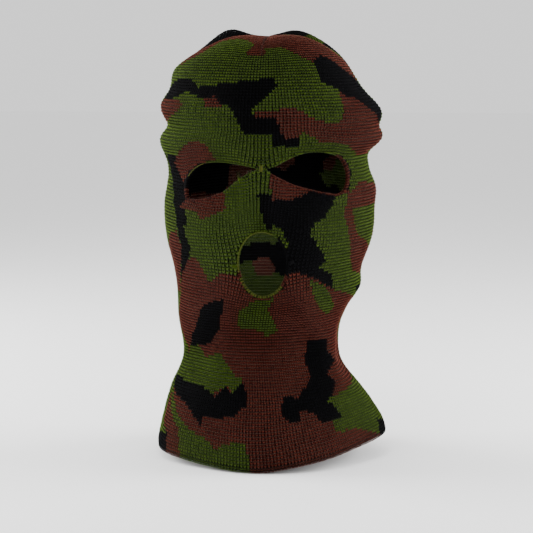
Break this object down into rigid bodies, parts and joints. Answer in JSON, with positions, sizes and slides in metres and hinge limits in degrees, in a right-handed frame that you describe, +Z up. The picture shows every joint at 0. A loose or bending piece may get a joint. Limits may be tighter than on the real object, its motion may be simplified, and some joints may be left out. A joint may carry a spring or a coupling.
{
  "type": "balaclava",
  "caption": "Knitted double-layer face mask hood with teardrop eye holes, an oval mouth hole, a gathered crown and a flared neck with a folded hem, in camouflage yarn.",
  "frame": {"origin": "inside of the closed crown, the point that rests on top of the wearer's head", "axes": "+Z up through the crown, -Y the way the face looks, +X the wearer's left"},
  "size_m": [0.184, 0.1997, 0.3438],
  "materials": {
    "yarn_green": "matte, slightly fuzzy acrylic yarn, dark olive green",
    "yarn_brown": "matte, slightly fuzzy acrylic yarn, red brown",
    "yarn_black": "matte, slightly fuzzy acrylic yarn, black",
    "edging_thread": "twisted thread, olive yellow, a little smoother than the yarn"
  },
  "bodies": {
    "root": {"outer_knit_shell": "yarn_green", "inner_knit_lining": "yarn_brown", "hem_fold": "yarn_green", "crown_seam_lengthwise": "yarn_brown", "crown_seam_crosswise": "yarn_black", "crown_tack": "yarn_brown", "left_eye_edging": "edging_thread", "right_eye_edging": "edging_thread", "mouth_edging": "edging_thread", "nose_bridge_tack": "yarn_green", "left_mouth_tack": "yarn_black", "right_mouth_tack": "yarn_green"}
  },
  "joints": []
}
